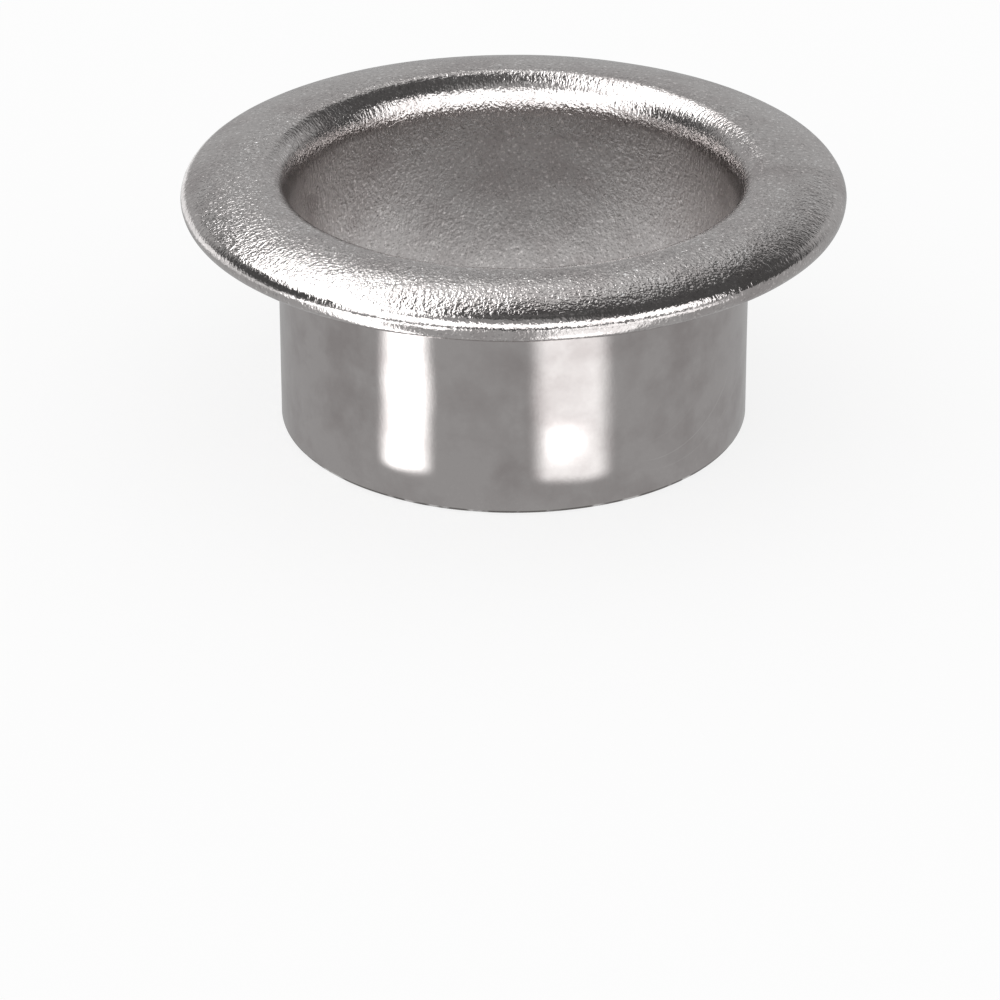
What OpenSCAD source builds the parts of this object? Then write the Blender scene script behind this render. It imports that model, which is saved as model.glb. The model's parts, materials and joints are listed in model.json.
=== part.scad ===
// Grommet eyelet, pressed from one disc of thin plated sheet.
// The barrel stands on the surface with its open end down, and the brim is at the top.
// The brim's outer edge is rolled under, so that no cut edge shows from above.
// Millimetres. +Z is the barrel's axis, and the origin is the middle of its open end.

/* [Sheet] */
// Thickness of the sheet, the same in the barrel and in the brim
sheet_t = 0.35; // [0.2:0.01:0.4]

/* [Barrel] */
// Diameter of the hole through the barrel
bore_d = 11.4; // [6:0.1:30]
// Height from the barrel's open end to the underside of the rim
barrel_h = 5.8; // [4:0.1:15]
// Radius on the outside corner of the open end, which leads it into the cloth
lead_r = 0.1; // [0.05:0.01:0.15]

/* [Throat] */
// Outside radius of the long flare from the barrel up into the throat
flare_r = 1.2; // [1:0.01:1.8]
// Underside radius of the tight bend over the top of the throat
crest_r = 0.35; // [0.15:0.01:0.6]
// Turn that the long flare makes before the tight bend takes over, in degrees
flare_turn = 27; // [20:1:45]

/* [Brim] */
// Distance from the barrel's outside to the brim's outer edge
brim_w = 2.45; // [2.2:0.05:5]
// Height of the crest above the underside of the rim
brim_h = 1.1; // [1:0.05:1.6]

/* [Rolled rim] */
// Inside radius of the tight turn at the rim
roll_r = 0.05; // [0.02:0.01:0.1]
// Width of the flat underside, from the tight turn to the bend of the lip
lip_w = 0.4; // [0.2:0.05:0.8]
// Inside radius of the bend where the lip turns up
lip_r = 0.15; // [0.05:0.01:0.25]
// Slope of the lip's upturned end, in degrees
lip_slope = 57; // [40:1:75]
// Gap between the lip's cut edge and the underside of the crown
seam_gap = 0.04; // [0.02:0.01:0.1]

/* [Hidden] */
round_fn = 144;
arc_step = 6;
tight_r = 0.2;
tight_step = 20;
same_point = 0.0001;
bore_r = bore_d / 2;
barrel_r = bore_r + sheet_t;
brim_r = barrel_r + brim_w;
total_h = barrel_h + brim_h;

// Underside centre of the tight bend, and the outside centre of the long flare below it
flare_more = flare_r - crest_r;
crest_x = barrel_r + flare_r - flare_more * cos(flare_turn);
crest_z = total_h - sheet_t - crest_r;
flare_x = barrel_r + flare_r;
flare_z = crest_z - flare_more * sin(flare_turn);

// Centre of the tight turn at the rim
roll_top_r = roll_r + sheet_t;
roll_x = brim_r - roll_top_r;
roll_z = barrel_h + roll_top_r;

// Crown: one arc that is level at the crest and runs smoothly into the tight turn
crown_w = roll_x - crest_x;
crown_drop = total_h - roll_z;
crown_r = (crown_w * crown_w + crown_drop * crown_drop - roll_top_r * roll_top_r)
    / (2 * (crown_drop - roll_top_r));
crown_z = total_h - crown_r;
crown_turn = asin(crown_w / (crown_r - roll_top_r));

// Lip: centre of its upward bend, and the length of its end up to the seam
lip_x = roll_x - lip_w;
lip_z = barrel_h + sheet_t + lip_r;
lip_from = 270 - lip_slope;
lip_run = [-cos(lip_slope), sin(lip_slope)];
lip_inside = [lip_x, lip_z] + lip_r * [cos(lip_from), sin(lip_from)];
lip_outside = [lip_x, lip_z] + (lip_r + sheet_t) * [cos(lip_from), sin(lip_from)];
to_lip = lip_inside - [crest_x, crown_z];
seam_r = crown_r - sheet_t - seam_gap;
along = to_lip * lip_run;
lip_len = sqrt(along * along - to_lip * to_lip + seam_r * seam_r) - along;

// Points of a round stretch, from one direction to another as seen from its centre
function arc(x, z, r, from, to) =
    let (steps = max(3, ceil(abs(to - from) / (r < tight_r ? tight_step : arc_step))))
    [for (i = [0 : steps])
        let (a = from + (to - from) * i / steps)
        [x + r * cos(a), z + r * sin(a)]];

// Outline with each point that repeats the next one left out
function tidy(points) =
    [for (i = [0 : len(points) - 1])
        if (norm(points[i] - points[(i + 1) % len(points)]) > same_point) points[i]];

// Side of the sheet that shows from above: up the hole, over the crown, round under the rim
upper_side = concat(
    [[bore_r, 0]],
    arc(flare_x, flare_z, flare_r + sheet_t, 180, 180 - flare_turn),
    arc(crest_x, crest_z, crest_r + sheet_t, 180 - flare_turn, 90),
    arc(crest_x, crown_z, crown_r, 90, 90 - crown_turn),
    arc(roll_x, roll_z, roll_top_r, 90 - crown_turn, -90),
    arc(lip_x, lip_z, lip_r + sheet_t, 270, lip_from)
);

// Sheared edge of the lip, just below the crown
cut_edge = [lip_outside + lip_len * lip_run, lip_inside + lip_len * lip_run];

// Other side of the sheet: out along the lip, back under the crown, down the barrel's outside
lower_side = concat(
    arc(lip_x, lip_z, lip_r, lip_from, 270),
    arc(roll_x, roll_z, roll_r, -90, 90 - crown_turn),
    arc(crest_x, crown_z, crown_r - sheet_t, 90 - crown_turn, 90),
    arc(crest_x, crest_z, crest_r, 90, 180 - flare_turn),
    arc(flare_x, flare_z, flare_r, 180 - flare_turn, 180),
    arc(barrel_r - lead_r, lead_r, lead_r, 0, -90)
);

module eyelet() {
    color([0.66, 0.65, 0.64])
        rotate_extrude($fn = round_fn)
            polygon(tidy(concat(upper_side, cut_edge, lower_side)));
}

eyelet();
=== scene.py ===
import json
from math import asin, ceil, cos, degrees, pi, radians, sin, sqrt

import bpy
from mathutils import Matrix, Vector


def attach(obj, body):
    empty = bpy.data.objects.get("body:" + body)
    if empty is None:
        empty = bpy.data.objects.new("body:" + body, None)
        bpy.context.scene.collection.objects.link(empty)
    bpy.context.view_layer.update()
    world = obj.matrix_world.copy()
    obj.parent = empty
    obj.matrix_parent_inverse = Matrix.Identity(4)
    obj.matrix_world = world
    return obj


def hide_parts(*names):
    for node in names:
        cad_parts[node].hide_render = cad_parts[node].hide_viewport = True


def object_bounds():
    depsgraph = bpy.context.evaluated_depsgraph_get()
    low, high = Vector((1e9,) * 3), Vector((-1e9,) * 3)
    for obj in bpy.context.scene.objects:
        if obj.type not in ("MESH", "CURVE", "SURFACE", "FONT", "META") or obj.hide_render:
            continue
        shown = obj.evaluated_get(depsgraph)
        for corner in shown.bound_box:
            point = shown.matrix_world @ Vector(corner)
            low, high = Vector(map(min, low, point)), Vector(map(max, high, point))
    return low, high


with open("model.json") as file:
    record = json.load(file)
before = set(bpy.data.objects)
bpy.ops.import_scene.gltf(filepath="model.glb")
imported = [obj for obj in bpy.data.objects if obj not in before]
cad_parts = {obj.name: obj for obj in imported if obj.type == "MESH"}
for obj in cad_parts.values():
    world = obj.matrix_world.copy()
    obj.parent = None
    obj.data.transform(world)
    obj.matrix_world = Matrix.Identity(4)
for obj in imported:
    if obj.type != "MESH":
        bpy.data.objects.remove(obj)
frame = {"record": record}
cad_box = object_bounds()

# Sizes that the frame gives, in metres
MM = 0.001
MM_PER_METRE = 1000
mounts = {mount["name"]: mount for mount in frame["record"]["mounts"]}
BORE_R = mounts["bore"]["dims"]["r_mm"] * MM
BARREL_R = mounts["barrel"]["dims"]["r_mm"] * MM
BARREL_H = mounts["rim_seat"]["pos_m"][2]
BRIM_R = round(cad_box[1].x, 5)
TOTAL_H = round(cad_box[1].z, 5)
SHEET_T = BARREL_R - BORE_R

# Bends of the sheet, the same as in the solid
LEAD_R = 0.1 * MM
FLARE_R = 1.2 * MM
CREST_R = 0.35 * MM
FLARE_TURN = 27
ROLL_R = 0.05 * MM
LIP_W = 0.4 * MM
LIP_R = 0.15 * MM
LIP_SLOPE = 57
SEAM_GAP = 0.04 * MM

# How finely the sheet is drawn: points round each ring, degrees between the rings of a bend, and
# the distance between the rings of a straight stretch
RING_POINTS = 384
BEND_TURN = 4
THROAT_TURN = 2.5
CROWN_TURN = 1.5
LIP_TURN = 8
UNDER_TURN = 3
CREST_TURN = 6
TIGHT_TURN = 12
LONG_STEP = 0.3 * MM
SHEARED_STEP = SHEET_T / 3
SAME_POINT = 1e-7

# Turn of the surface in degrees, past which its edge stays sharp
SHARP_TURN = 35


# Camera

CAMERA_ELEVATION = 24.95
CAMERA_DISTANCE = 0.1179
CAMERA_AIM = Vector((0, 0, 0.0035))
CAMERA_LENS = 164.4
CAMERA_SENSOR = 36
CAMERA_NEAR = 0.001
CAMERA_FAR = 10
AIM_SHIFT_X = -0.0135
AIM_SHIFT_Y = -0.215


def add_camera():
    """The photo's view: from the front and above, through a long lens."""
    tilt = radians(CAMERA_ELEVATION)
    camera_data = bpy.data.cameras.new("front_camera")
    camera = bpy.data.objects.new("front_camera", camera_data)
    bpy.context.collection.objects.link(camera)
    camera.location = CAMERA_AIM + CAMERA_DISTANCE * Vector((0, -cos(tilt), sin(tilt)))
    camera.rotation_euler = (pi / 2 - tilt, 0, 0)
    camera_data.sensor_width = CAMERA_SENSOR
    camera_data.lens = CAMERA_LENS
    camera_data.shift_x = AIM_SHIFT_X
    camera_data.shift_y = AIM_SHIFT_Y
    camera_data.clip_start = CAMERA_NEAR
    camera_data.clip_end = CAMERA_FAR
    bpy.context.scene.camera = camera


# Section of the sheet: stretches of (distance from the axis, height), each with its finish


def bend(centre_x, centre_z, radius, start, end, turn=BEND_TURN):
    """Points of a round stretch, between two directions seen from its centre."""
    steps = max(3, ceil(abs(end - start) / turn))
    angles = [radians(start + (end - start) * i / steps) for i in range(steps + 1)]
    return [(centre_x + radius * cos(a), centre_z + radius * sin(a)) for a in angles]


def straight(start, end, step=LONG_STEP):
    """Points of a straight stretch."""
    length = sqrt((end[0] - start[0]) ** 2 + (end[1] - start[1]) ** 2)
    steps = max(1, ceil(length / step))
    return [tuple(s + (e - s) * i / steps for s, e in zip(start, end)) for i in range(steps + 1)]


def section_of_sheet():
    """The closed outline of the sheet, up the hole and round to the barrel's outside."""
    flare_more = FLARE_R - CREST_R
    crest_x = BARREL_R + FLARE_R - flare_more * cos(radians(FLARE_TURN))
    crest_z = TOTAL_H - SHEET_T - CREST_R
    flare_x = BARREL_R + FLARE_R
    flare_z = crest_z - flare_more * sin(radians(FLARE_TURN))
    roll_top_r = ROLL_R + SHEET_T
    roll_x = BRIM_R - roll_top_r
    roll_z = BARREL_H + roll_top_r
    crown_w = roll_x - crest_x
    crown_drop = TOTAL_H - roll_z
    crown_r = (crown_w ** 2 + crown_drop ** 2 - roll_top_r ** 2) / (2 * (crown_drop - roll_top_r))
    crown_z = TOTAL_H - crown_r
    crown_turn = degrees(asin(crown_w / (crown_r - roll_top_r)))
    lip_x = roll_x - LIP_W
    lip_z = BARREL_H + SHEET_T + LIP_R
    lip_from = 270 - LIP_SLOPE
    lip_run = Vector((-cos(radians(LIP_SLOPE)), sin(radians(LIP_SLOPE))))
    lip_out = Vector((cos(radians(lip_from)), sin(radians(lip_from))))
    lip_inside = Vector((lip_x, lip_z)) + LIP_R * lip_out
    lip_outside = Vector((lip_x, lip_z)) + (LIP_R + SHEET_T) * lip_out
    to_lip = lip_inside - Vector((crest_x, crown_z))
    seam_r = crown_r - SHEET_T - SEAM_GAP
    along = to_lip.dot(lip_run)
    lip_len = sqrt(along ** 2 - to_lip.dot(to_lip) + seam_r ** 2) - along
    outside_corner = lip_outside + lip_len * lip_run
    inside_corner = lip_inside + lip_len * lip_run
    crown_end = 90 - crown_turn
    flare_end = 180 - FLARE_TURN
    return [
        ("hole", straight((BORE_R, 0), (BORE_R, flare_z))),
        ("throat", bend(flare_x, flare_z, FLARE_R + SHEET_T, 180, flare_end, THROAT_TURN)),
        ("throat", bend(crest_x, crest_z, CREST_R + SHEET_T, flare_end, 90)),
        ("crown", bend(crest_x, crown_z, crown_r, 90, crown_end, CROWN_TURN)),
        ("rim", bend(roll_x, roll_z, roll_top_r, crown_end, -90)),
        ("seat", straight((roll_x, BARREL_H), (lip_x, BARREL_H))),
        ("lip", bend(lip_x, lip_z, LIP_R + SHEET_T, 270, lip_from, LIP_TURN)),
        ("lip", straight(lip_outside, outside_corner)),
        ("sheared", straight(outside_corner, inside_corner, SHEARED_STEP)),
        ("lip", straight(inside_corner, lip_inside)),
        ("lip", bend(lip_x, lip_z, LIP_R, lip_from, 270, TIGHT_TURN)),
        ("lip", bend(roll_x, roll_z, ROLL_R, -90, crown_end, TIGHT_TURN)),
        ("under", bend(crest_x, crown_z, crown_r - SHEET_T, crown_end, 90, UNDER_TURN)),
        ("under", bend(crest_x, crest_z, CREST_R, 90, flare_end, CREST_TURN)),
        ("under", bend(flare_x, flare_z, FLARE_R, flare_end, 180)),
        ("barrel", straight((BARREL_R, flare_z), (BARREL_R, LEAD_R))),
        ("sheared", bend(BARREL_R - LEAD_R, LEAD_R, LEAD_R, 0, -90, TIGHT_TURN)),
    ]


# Share of the orange peel grain in each finish, and of the matt look, and the number of rings to
# each side over which one finish blends into the next
GRAIN = {"hole": 0.8, "throat": 1, "crown": 1, "rim": 0.65, "seat": 0.35,
         "lip": 0.2, "sheared": 0.1, "under": 0.25, "barrel": 0.03}
MATT = {"hole": 1, "throat": 0.3}
GRAIN_BLEND = 3


def press_eyelet():
    """The whole eyelet, drawn ring by ring along its section and closed at the barrel's end."""
    rings = []
    for finish, points in section_of_sheet():
        for point in points:
            if not rings or (Vector(point) - Vector(rings[-1][1])).length > SAME_POINT:
                rings.append((finish, point))
    bpy.ops.object.select_all(action="DESELECT")
    bpy.ops.mesh.primitive_circle_add(vertices=RING_POINTS, radius=rings[0][1][0])
    eyelet = bpy.context.object
    eyelet.name = "pressed_eyelet"
    bpy.ops.object.mode_set(mode="EDIT")
    bpy.ops.mesh.select_all(action="SELECT")
    for (_, (r_from, z_from)), (_, (r_to, z_to)) in zip(rings, rings[1:]):
        bpy.ops.mesh.extrude_edges_move(TRANSFORM_OT_translate={"value": (0, 0, z_to - z_from)})
        widen = r_to / r_from
        bpy.ops.transform.resize(value=(widen, widen, 1), center_override=(0, 0, 0))
    bpy.ops.mesh.select_mode(type="EDGE")
    bpy.ops.mesh.select_all(action="DESELECT")
    bpy.ops.mesh.select_non_manifold()
    bpy.ops.mesh.bridge_edge_loops()
    bpy.ops.mesh.select_all(action="SELECT")
    bpy.ops.mesh.normals_make_consistent(inside=False)
    bpy.ops.object.mode_set(mode="OBJECT")
    mark_finishes(eyelet, rings)
    return eyelet


def mark_finishes(eyelet, rings):
    """Writes each ring's finish and its way along the section, which the material reads."""
    grain = [GRAIN[finish] for finish, _ in rings]
    shear = [1.0 if finish == "sheared" else 0.0 for finish, _ in rings]
    matt = [MATT.get(finish, 0.0) for finish, _ in rings]
    along = [0.0]
    for (_, here), (_, there) in zip(rings, rings[1:]):
        along.append(along[-1] + (Vector(there) - Vector(here)).length)
    last = len(rings) - 1
    for name, shares, reach in (("grain", grain, GRAIN_BLEND), ("matt", matt, GRAIN_BLEND),
                                ("sheared", shear, 0), ("along", along, 0)):
        layer = eyelet.data.attributes.new(name, "FLOAT", "POINT")
        for ring in range(len(rings)):
            near = shares[max(0, ring - reach):min(last, ring + reach) + 1]
            share = sum(near) / len(near)
            for i in range(ring * RING_POINTS, (ring + 1) * RING_POINTS):
                layer.data[i].value = share


# Waves in the sheet: how wide and how deep they are, and the share of that depth that goes
# inwards, so that they add next to nothing to the sheet's reach
UNEVEN_SPAN = 2.6 * MM
UNEVEN_DEPTH = 0.018 * MM
UNEVEN_LEVEL = 0.75


def select_only(piece):
    """Selects one piece and makes it the active one."""
    bpy.ops.object.select_all(action="DESELECT")
    piece.select_set(True)
    bpy.context.view_layer.objects.active = piece


def make_uneven(piece):
    """The slight waves that drawing and plating leave in the sheet."""
    waves = bpy.data.textures.new("sheet_waves", "CLOUDS")
    waves.noise_scale = UNEVEN_SPAN
    modifier = piece.modifiers.new("sheet_waves", "DISPLACE")
    modifier.texture = waves
    modifier.texture_coords = "LOCAL"
    modifier.direction = "NORMAL"
    modifier.mid_level = UNEVEN_LEVEL
    modifier.strength = UNEVEN_DEPTH
    select_only(piece)
    bpy.ops.object.modifier_apply(modifier=modifier.name)


def smooth(piece):
    """Smooth shading, with the sheared corners kept sharp."""
    select_only(piece)
    bpy.ops.object.shade_smooth_by_angle(angle=radians(SHARP_TURN))


# Material


class Nodes:
    """Adds nodes to a tree and links them."""

    def __init__(self, tree):
        self.tree = tree
        self.tree.nodes.clear()

    def add(self, kind, inputs=None, **settings):
        """One node, with its inputs linked or set to a value."""
        made = self.tree.nodes.new(kind)
        for name, value in settings.items():
            setattr(made, name, value)
        for name, value in (inputs or {}).items():
            if isinstance(value, bpy.types.NodeSocket):
                self.tree.links.new(value, made.inputs[name])
            else:
                made.inputs[name].default_value = value
        return made

    def math(self, operation, *values):
        """One operation on one value or two."""
        return self.add("ShaderNodeMath", dict(enumerate(values)), operation=operation).outputs[0]

    def noise(self, place, scale, detail, roughness):
        """Noise round a half, over a place in millimetres."""
        inputs = {"Vector": place, "Scale": scale, "Detail": detail, "Roughness": roughness}
        return self.add("ShaderNodeTexNoise", inputs).outputs["Fac"]

    def spread(self, value, from_low, from_high, to_low, to_high):
        """A value brought from one range to another, and held at its ends."""
        inputs = {"Value": value, "From Min": from_low, "From Max": from_high,
                  "To Min": to_low, "To Max": to_high}
        return self.add("ShaderNodeMapRange", inputs).outputs["Result"]

    def blend(self, share, first, second):
        """One colour up to another, by a share."""
        colours = [value if isinstance(value, bpy.types.NodeSocket) else (*value, 1)
                   for value in (first, second)]
        return self.add("ShaderNodeMix", {0: share, 6: colours[0], 7: colours[1]},
                        data_type="RGBA").outputs[2]

    def edge(self, value, zero_at, one_at):
        """0 up to one value and 1 from another, with a smooth step between."""
        inputs = {"Value": value, "From Min": zero_at, "From Max": one_at}
        return self.add("ShaderNodeMapRange", inputs,
                        interpolation_type="SMOOTHSTEP").outputs["Result"]


# Colours of the plate where it is drawn smooth, where it is grained, at the sheared edges, on the
# burrs there, painted near white as painted glints, and in the stains, and how strong the bright
# and dark flecks of the grain are
SATIN = (0.6, 0.572, 0.563)
GRAINED = (0.67, 0.642, 0.632)
SHEARED = (0.26, 0.245, 0.235)
BURR_GLINT = (0.98, 0.96, 0.95)
STAIN = (0.82, 0.8, 0.8)
BRIGHT_FLECK = 0.6
DARK_FLECK = 0.3

# The grain is laid round a mean radius in millimetres, and drawn out along the section
MEAN_RADIUS = 7
GRAIN_STRETCH = 0.52

# Noises over the sheet: scale per millimetre, detail and roughness
PEEL = (9.5, 2.5, 0.6)
SWELL = (0.9, 0, 0.5)
PITS = (15, 1, 0.5)
FLECKS = (12, 1, 0.5)
MOTTLE = (1.1, 3, 0.6)
CLOUDY = (0.4, 2, 0.5)
BURR_GLINTS = (1.6, 2, 0.5)

# Where the burrs with their painted glints, bright flecks and dark flecks start and are full in
# their noise, and between which values the stains come in
BURR_GLINT_EDGE = (0.5, 0.62)
BRIGHT_EDGE = (0.6, 0.72)
DARK_EDGE = (0.4, 0.28)
STAIN_RANGE = (0.2, 0.42)

# Roughness of the plate where it is satin and where it is matt, what the mottling between two
# values of its noise adds to it, and what shearing adds
ROUGHNESS = (0.09, 0.28)
MOTTLE_RANGE = (0.3, 0.7)
MOTTLE_ROUGHER = (-0.02, 0.04)
SHEARED_ROUGHER = 0.15

# Depth of the grain in the plate, with the share of the pits and of the long waves in it
GRAIN_DEPTH = 0.021 * MM
PITS_SHARE = 0.45
WAVES = 0.8

# Fine curved scratches low on the front of the barrel, in millimetres: the middle of each curve
# across and up, its radius and how strong it shows
SCRATCHES = [
    (3.7, 2.8, 1.84, 0.35),
    (3.95, 2.6, 1.96, 0.2),
    (3.3, 3.1, 1.6, 0.15),
]
SCRATCHED = (0.78, 0.76, 0.75)
SCRATCH_WIDTH = 0.022
SCRATCH_FROM = 3
SCRATCH_TOP = 2.6
SCRATCH_FULL = 1.8


def scratches(nodes, place):
    """1 on the fine scratches of the barrel, which are drawn in the view from the front."""
    axes = nodes.add("ShaderNodeSeparateXYZ", {"Vector": place}).outputs
    marks = 0
    for across, up, radius, strength in SCRATCHES:
        spot = nodes.add("ShaderNodeVectorMath", {0: place, 1: (across, 0, up)},
                         operation="SUBTRACT").outputs["Vector"]
        seen = nodes.add("ShaderNodeVectorMath", {0: spot, 1: (1, 0, 1)},
                         operation="MULTIPLY").outputs["Vector"]
        away = nodes.add("ShaderNodeVectorMath", {0: seen}, operation="LENGTH").outputs["Value"]
        off = nodes.math("ABSOLUTE", nodes.math("SUBTRACT", away, radius))
        mark = nodes.math("MULTIPLY", nodes.edge(off, SCRATCH_WIDTH, 0), strength)
        marks = nodes.math("MAXIMUM", marks, mark)
    front = nodes.math("MULTIPLY", nodes.edge(axes["Y"], 0, -1),
                       nodes.edge(axes["X"], SCRATCH_FROM, SCRATCH_FROM + 1))
    low = nodes.edge(axes["Z"], SCRATCH_TOP, SCRATCH_FULL)
    return nodes.math("MULTIPLY", marks, nodes.math("MULTIPLY", front, low))


def plated_sheet():
    """Satin nickel plate, with orange peel grain where the attribute says so."""
    material = bpy.data.materials.new("plated_sheet")
    material.use_nodes = True
    nodes = Nodes(material.node_tree)
    coordinates = nodes.add("ShaderNodeTexCoord").outputs["Object"]
    mapping = {"Vector": coordinates, "Scale": (MM_PER_METRE, MM_PER_METRE, MM_PER_METRE)}
    place = nodes.add("ShaderNodeMapping", mapping).outputs["Vector"]
    grain = nodes.add("ShaderNodeAttribute", attribute_name="grain").outputs["Fac"]
    sheared = nodes.add("ShaderNodeAttribute", attribute_name="sheared").outputs["Fac"]
    along = nodes.add("ShaderNodeAttribute", attribute_name="along").outputs["Fac"]
    flat = nodes.add("ShaderNodeVectorMath", {0: place, 1: (1, 1, 0)},
                     operation="MULTIPLY").outputs["Vector"]
    outward = nodes.add("ShaderNodeVectorMath", {0: flat}, operation="NORMALIZE").outputs["Vector"]
    drawn = nodes.add("ShaderNodeCombineXYZ", {
        "Z": nodes.math("MULTIPLY", along, GRAIN_STRETCH / MM)}).outputs["Vector"]
    sheet = nodes.add("ShaderNodeVectorMath", {
        0: outward, 1: (MEAN_RADIUS, MEAN_RADIUS, 0), 2: drawn},
        operation="MULTIPLY_ADD").outputs["Vector"]
    peel = nodes.noise(sheet, *PEEL)
    swell = nodes.noise(place, *SWELL)
    pits = nodes.noise(place, *PITS)
    flecks = nodes.noise(place, *FLECKS)
    mottle = nodes.noise(place, *MOTTLE)
    cloudy = nodes.noise(place, *CLOUDY)
    plate = nodes.blend(grain, SATIN, GRAINED)
    # Painted glints: spots of the sheared edges, where the burrs are, painted near white
    burr_glints = nodes.edge(nodes.noise(place, *BURR_GLINTS), *BURR_GLINT_EDGE)
    plate = nodes.blend(sheared, plate, nodes.blend(burr_glints, SHEARED, BURR_GLINT))
    stain = nodes.spread(nodes.math("MULTIPLY", mottle, cloudy), *STAIN_RANGE, 0, 1)
    colour = nodes.add("ShaderNodeMix", {0: stain, 6: plate, 7: (*STAIN, 1)},
                       data_type="RGBA", blend_type="MULTIPLY").outputs[2]
    bright = nodes.math("MULTIPLY", nodes.edge(flecks, *BRIGHT_EDGE), BRIGHT_FLECK)
    dark = nodes.math("MULTIPLY", nodes.edge(flecks, *DARK_EDGE), DARK_FLECK)
    fleck = nodes.math("MULTIPLY", nodes.math("SUBTRACT", bright, dark), grain)
    fleck = nodes.math("ADD", 1, fleck)
    colour = nodes.add("ShaderNodeVectorMath", {0: colour, 1: fleck},
                       operation="MULTIPLY").outputs["Vector"]
    colour = nodes.add("ShaderNodeMix", {0: scratches(nodes, place), 6: colour,
                                         7: (*SCRATCHED, 1)}, data_type="RGBA").outputs[2]
    matt = nodes.add("ShaderNodeAttribute", attribute_name="matt").outputs["Fac"]
    rough = nodes.math("ADD", nodes.spread(matt, 0, 1, *ROUGHNESS),
                       nodes.spread(mottle, *MOTTLE_RANGE, *MOTTLE_ROUGHER))
    rough = nodes.math("ADD", rough, nodes.math("MULTIPLY", sheared, SHEARED_ROUGHER))
    height = nodes.math("ADD", peel, nodes.math("MULTIPLY", pits, PITS_SHARE))
    height = nodes.math("MULTIPLY", height, grain)
    height = nodes.math("ADD", height, nodes.math("MULTIPLY", swell, WAVES))
    bump = nodes.add("ShaderNodeBump", {"Height": height, "Strength": 1, "Distance": GRAIN_DEPTH})
    shader = nodes.add("ShaderNodeBsdfPrincipled", {
        "Base Color": colour, "Metallic": 1, "Roughness": rough,
        "Normal": bump.outputs["Normal"]})
    nodes.add("ShaderNodeOutputMaterial", {"Surface": shader.outputs["BSDF"]})
    return material


# Studio

# Soft lights round the object, as the metal shows them. Azimuth runs from the camera's side to
# the right. Each has its middle azimuth, half its width, the width of its soft side edges, its
# lowest and highest elevation and the width of those edges, in degrees, and its strength.
SOFT_LIGHTS = [
    (-70, 16, 9, 33, 70, 5, 2.4),
    (-106, 20, 8, 41, 70, 4, 2.6),
    (-136, 14, 8, 45.5, 68, 4, 2.6),
    (-160, 6, 5, 45.5, 58, 4, 2.6),
    (-41, 17, 5, 20, 36, 4, 2.4),
    (5, 63, 6, 5, 30, 4, 1.9),
    (180, 48, 24, -20, 27, 8, 0.38),
    (180, 14, 9, 38, 58, 4, 0.62),
    (-15, 25, 30, 36, 62, 10, 0.3),
    (0, 170, 10, 80, 90, 5, 0.06),
]
ROOM_LEVEL = 0.09
DIFFUSE_LEVEL = 1

# A light that reaches straight up ends just past it, so that it is full there
PAST_TOP = 0.001

# Brighter stretches of the table, beyond what the barrel mirrors: azimuth, half width and
# soft edges in degrees, and strength over the table's grey
TABLE_GLOWS = [
    (-42, 22, 9, 1.8),
    (-130, 20, 12, 0.6),
    (-90, 16, 10, 0.35),
    (35, 20, 12, 1.2),
]
TABLE_GLOW_FROM = 19 * MM
TABLE_GLOW_SOFT = 4 * MM

# The table's grey as the metal shows it, its dark far end towards the front with that end's
# azimuth, half width and soft edges in degrees, and its level inside the barrel with the shade
TABLE_LEVEL = 0.45
FAR_FACING = (-20, 70, 20)
FAR_FROM = 38 * MM
FAR_SOFT = 14 * MM
FAR_DARK = 0.85
INSIDE_MORE = 0.24
SHADE_EDGE = 1.2 * MM
SHADE_SOFT = 0.8 * MM
SHADE_DARK = 0.37


def facing(nodes, direction, azimuth, half, soft):
    """1 for level directions near an azimuth, and 0 beyond the soft edges."""
    flat = nodes.add("ShaderNodeVectorMath", {0: direction, 1: (1, 1, 0)},
                     operation="MULTIPLY").outputs["Vector"]
    level = nodes.add("ShaderNodeVectorMath", {0: flat}, operation="NORMALIZE").outputs["Vector"]
    turn = radians(azimuth)
    aim = (sin(turn), -cos(turn), 0)
    near = nodes.add("ShaderNodeVectorMath", {0: level, 1: aim},
                     operation="DOT_PRODUCT").outputs["Value"]
    return nodes.edge(near, cos(radians(half + soft)), cos(radians(half)))


def shown(nodes):
    """1 where the camera, a reflection or a refraction looks, else 0."""
    path = nodes.add("ShaderNodeLightPath").outputs
    shows = nodes.math("MAXIMUM", path["Is Camera Ray"], path["Is Glossy Ray"])
    return nodes.math("MAXIMUM", shows, path["Is Transmission Ray"])


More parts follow.
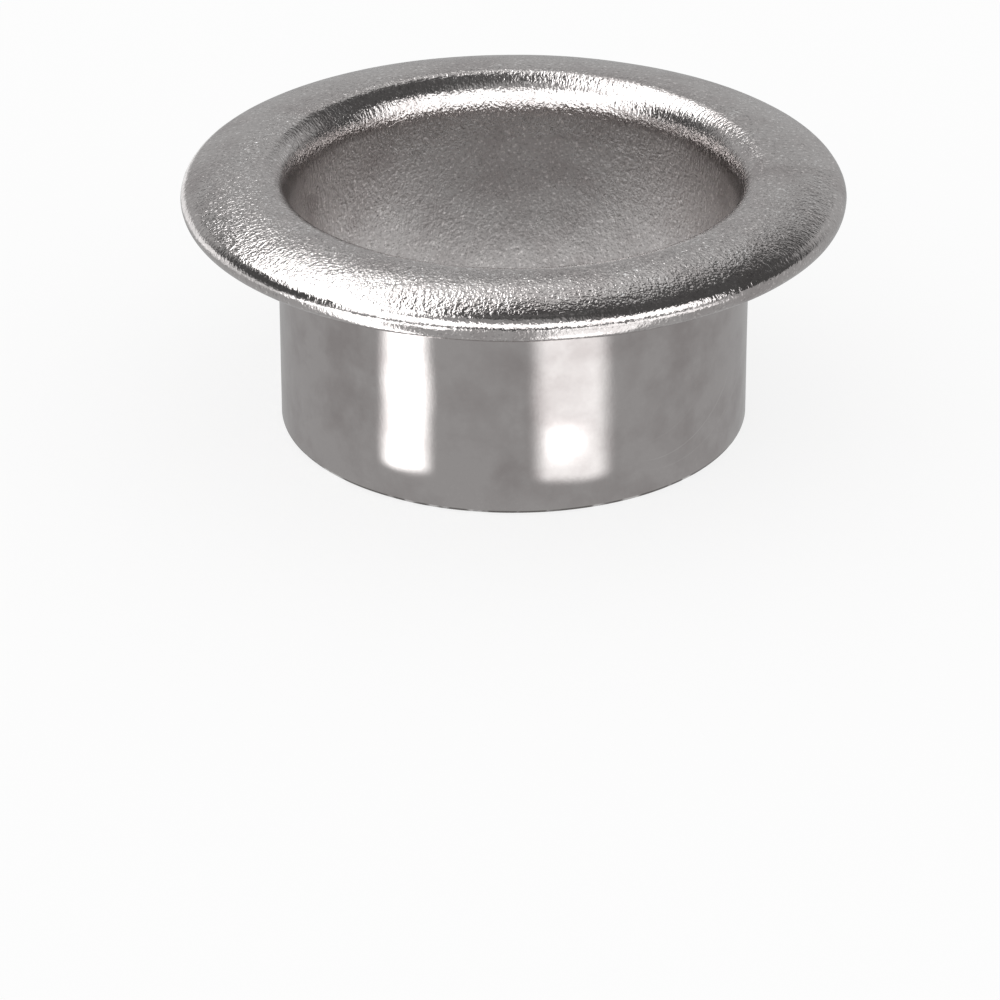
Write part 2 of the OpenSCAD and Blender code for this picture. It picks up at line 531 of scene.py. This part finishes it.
def light_room():
    """White behind the object, and soft lights in a dim room for the metal to show."""
    world = bpy.data.worlds.new("studio")
    world.use_nodes = True
    bpy.context.scene.world = world
    nodes = Nodes(world.node_tree)
    direction = nodes.add("ShaderNodeTexCoord").outputs["Generated"]
    rise = nodes.add("ShaderNodeSeparateXYZ", {"Vector": direction}).outputs["Z"]
    level = ROOM_LEVEL
    for azimuth, half, soft, lowest, highest, rise_soft, strength in SOFT_LIGHTS:
        across = facing(nodes, direction, azimuth, half, soft)
        above = nodes.edge(rise, sin(radians(lowest - rise_soft)), sin(radians(lowest)))
        top = min(90, highest + rise_soft)
        below = nodes.edge(rise, sin(radians(top)) + PAST_TOP, sin(radians(min(90, highest))))
        window = nodes.math("MULTIPLY", nodes.math("MULTIPLY", across, above), below)
        level = nodes.math("ADD", nodes.math("MULTIPLY", window, strength), level)
    path = nodes.add("ShaderNodeLightPath").outputs
    studio = nodes.add("ShaderNodeBackground", {"Color": (1, 1, 1, 1), "Strength": level})
    white = nodes.add("ShaderNodeBackground", {"Color": (1, 1, 1, 1), "Strength": 1})
    even = nodes.add("ShaderNodeBackground", {"Color": (1, 1, 1, 1), "Strength": DIFFUSE_LEVEL})
    metal = nodes.add("ShaderNodeMixShader", {
        0: path["Is Glossy Ray"], 1: even.outputs[0], 2: studio.outputs[0]})
    clear = nodes.math("MAXIMUM", path["Is Camera Ray"], path["Is Transmission Ray"])
    final = nodes.add("ShaderNodeMixShader", {0: clear, 1: metal.outputs[0], 2: white.outputs[0]})
    nodes.add("ShaderNodeOutputWorld", {"Surface": final.outputs[0]})


# The floor's width in metres, its colour, and the share of plain white that the camera sees
FLOOR_SIZE = 3
FLOOR_COLOUR = (0.9, 0.9, 0.9)
FLOOR_WHITE = 0.8


def lay_floor():
    """Plain white floor, which keeps a faint shadow and glows where the rim mirrors it."""
    bpy.ops.object.select_all(action="DESELECT")
    bpy.ops.mesh.primitive_plane_add(size=FLOOR_SIZE)
    floor = bpy.context.object
    floor.name = "floor"
    material = bpy.data.materials.new("white_floor")
    material.use_nodes = True
    nodes = Nodes(material.node_tree)
    place = nodes.add("ShaderNodeTexCoord").outputs["Object"]
    away = nodes.add("ShaderNodeVectorMath", {0: place}, operation="LENGTH").outputs["Value"]
    beyond = nodes.edge(away, TABLE_GLOW_FROM, TABLE_GLOW_FROM + TABLE_GLOW_SOFT)
    level = TABLE_LEVEL
    for azimuth, half, soft, strength in TABLE_GLOWS:
        window = nodes.math("MULTIPLY", facing(nodes, place, azimuth, half, soft), beyond)
        level = nodes.math("ADD", nodes.math("MULTIPLY", window, strength), level)
    far = nodes.math("MULTIPLY", nodes.edge(away, FAR_FROM, FAR_FROM + FAR_SOFT),
                     facing(nodes, place, *FAR_FACING))
    lit = nodes.math("SUBTRACT", 1, nodes.math("MULTIPLY", far, FAR_DARK))
    level = nodes.math("MULTIPLY", level, lit)
    across = nodes.add("ShaderNodeSeparateXYZ", {"Vector": place}).outputs["Y"]
    inside = nodes.edge(away, BARREL_R, BORE_R)
    shade = nodes.edge(across, SHADE_EDGE + SHADE_SOFT, SHADE_EDGE - SHADE_SOFT)
    shade = nodes.math("SUBTRACT", INSIDE_MORE, nodes.math("MULTIPLY", shade, SHADE_DARK))
    level = nodes.math("ADD", level, nodes.math("MULTIPLY", inside, shade))
    glossy = nodes.add("ShaderNodeLightPath").outputs["Is Glossy Ray"]
    matt = nodes.add("ShaderNodeBsdfDiffuse", {"Color": (*FLOOR_COLOUR, 1)})
    white = nodes.add("ShaderNodeEmission", {"Color": (1, 1, 1, 1), "Strength": 1})
    table = nodes.add("ShaderNodeEmission", {"Color": (1, 1, 1, 1), "Strength": level})
    share = nodes.math("MULTIPLY", shown(nodes), FLOOR_WHITE)
    plain = nodes.add("ShaderNodeMixShader", {0: share, 1: matt.outputs[0], 2: white.outputs[0]})
    mixed = nodes.add("ShaderNodeMixShader", {0: glossy, 1: plain.outputs[0], 2: table.outputs[0]})
    nodes.add("ShaderNodeOutputMaterial", {"Surface": mixed.outputs[0]})
    floor.data.materials.append(material)


# Low strips beside the barrel, which give its two bright streaks: each streak's left and right
# edge in degrees from the front, its soft share, its strength and that of its hot spot. The hot
# spot's middle and reach are shares of the strip's width and length, and so are its soft ends.
STREAKS = {
    "left_strip": (-35.2, -18.4, 0.36, 2.6, 0),
    "right_strip": (2.8, 25.6, 0.28, 1.05, 1.6),
}
STRIP_CUTS = 15
STRIP_FROM = 1.55 * MM
STRIP_TO = 16 * MM
STRIP_LIFT = 0.02 * MM
STRIP_NEAR_END = 0.05
STRIP_FAR_END = 0.8
HOT_SPOT = (0.42, 0.19)
HOT_SPOT_SPAN = (0.34, 0.13)


def lay_strip(name, left, right, soft, strength, hot):
    """A light strip on the floor, where the barrel mirrors it between two directions."""
    corners = []
    for reach in (STRIP_FROM, STRIP_TO):
        for edge in (left, right):
            foot = radians(edge)
            start = BARREL_R * Vector((sin(foot), -cos(foot), 0))
            away = Vector((sin(2 * foot), -cos(2 * foot), 0))
            corners.append(start + reach * away + Vector((0, 0, STRIP_LIFT)))
    bpy.ops.object.select_all(action="DESELECT")
    bpy.ops.mesh.primitive_plane_add(size=1)
    strip = bpy.context.object
    strip.name = name
    for vertex, corner in zip(strip.data.vertices, corners):
        vertex.co = corner
    bpy.ops.object.mode_set(mode="EDIT")
    bpy.ops.mesh.subdivide(number_cuts=STRIP_CUTS)
    bpy.ops.object.mode_set(mode="OBJECT")
    material = bpy.data.materials.new(name)
    material.use_nodes = True
    nodes = Nodes(material.node_tree)
    place = nodes.add("ShaderNodeUVMap").outputs["UV"]
    axes = nodes.add("ShaderNodeSeparateXYZ", {"Vector": place}).outputs
    across = nodes.math("MULTIPLY", nodes.edge(axes["X"], 0, soft),
                        nodes.edge(axes["X"], 1, 1 - soft))
    ends = nodes.math("MULTIPLY", nodes.edge(axes["Y"], 0, STRIP_NEAR_END),
                      nodes.edge(axes["Y"], 1, STRIP_FAR_END))
    spot = hot
    for axis, middle, span in zip("XY", HOT_SPOT, HOT_SPOT_SPAN):
        off = nodes.math("ABSOLUTE", nodes.math("SUBTRACT", axes[axis], middle))
        spot = nodes.math("MULTIPLY", spot, nodes.edge(off, span, 0))
    level = nodes.math("ADD", strength, spot)
    level = nodes.math("MULTIPLY", level, nodes.math("MULTIPLY", across, ends))
    glow = nodes.add("ShaderNodeEmission", {"Color": (1, 1, 1, 1), "Strength": level})
    clear = nodes.add("ShaderNodeBsdfTransparent")
    both = nodes.add("ShaderNodeAddShader", {0: glow.outputs[0], 1: clear.outputs[0]})
    nodes.add("ShaderNodeOutputMaterial", {"Surface": both.outputs[0]})
    strip.data.materials.append(material)
    strip.visible_camera = False
    strip.visible_shadow = False
    strip.visible_diffuse = False


bpy.context.scene.view_settings.view_transform = "Standard"
add_camera()
light_room()
lay_floor()
for strip_name, streak in STREAKS.items():
    lay_strip(strip_name, *streak)
eyelet = press_eyelet()
make_uneven(eyelet)
smooth(eyelet)
eyelet.data.materials.append(plated_sheet())
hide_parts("eyelet")
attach(eyelet, "root")
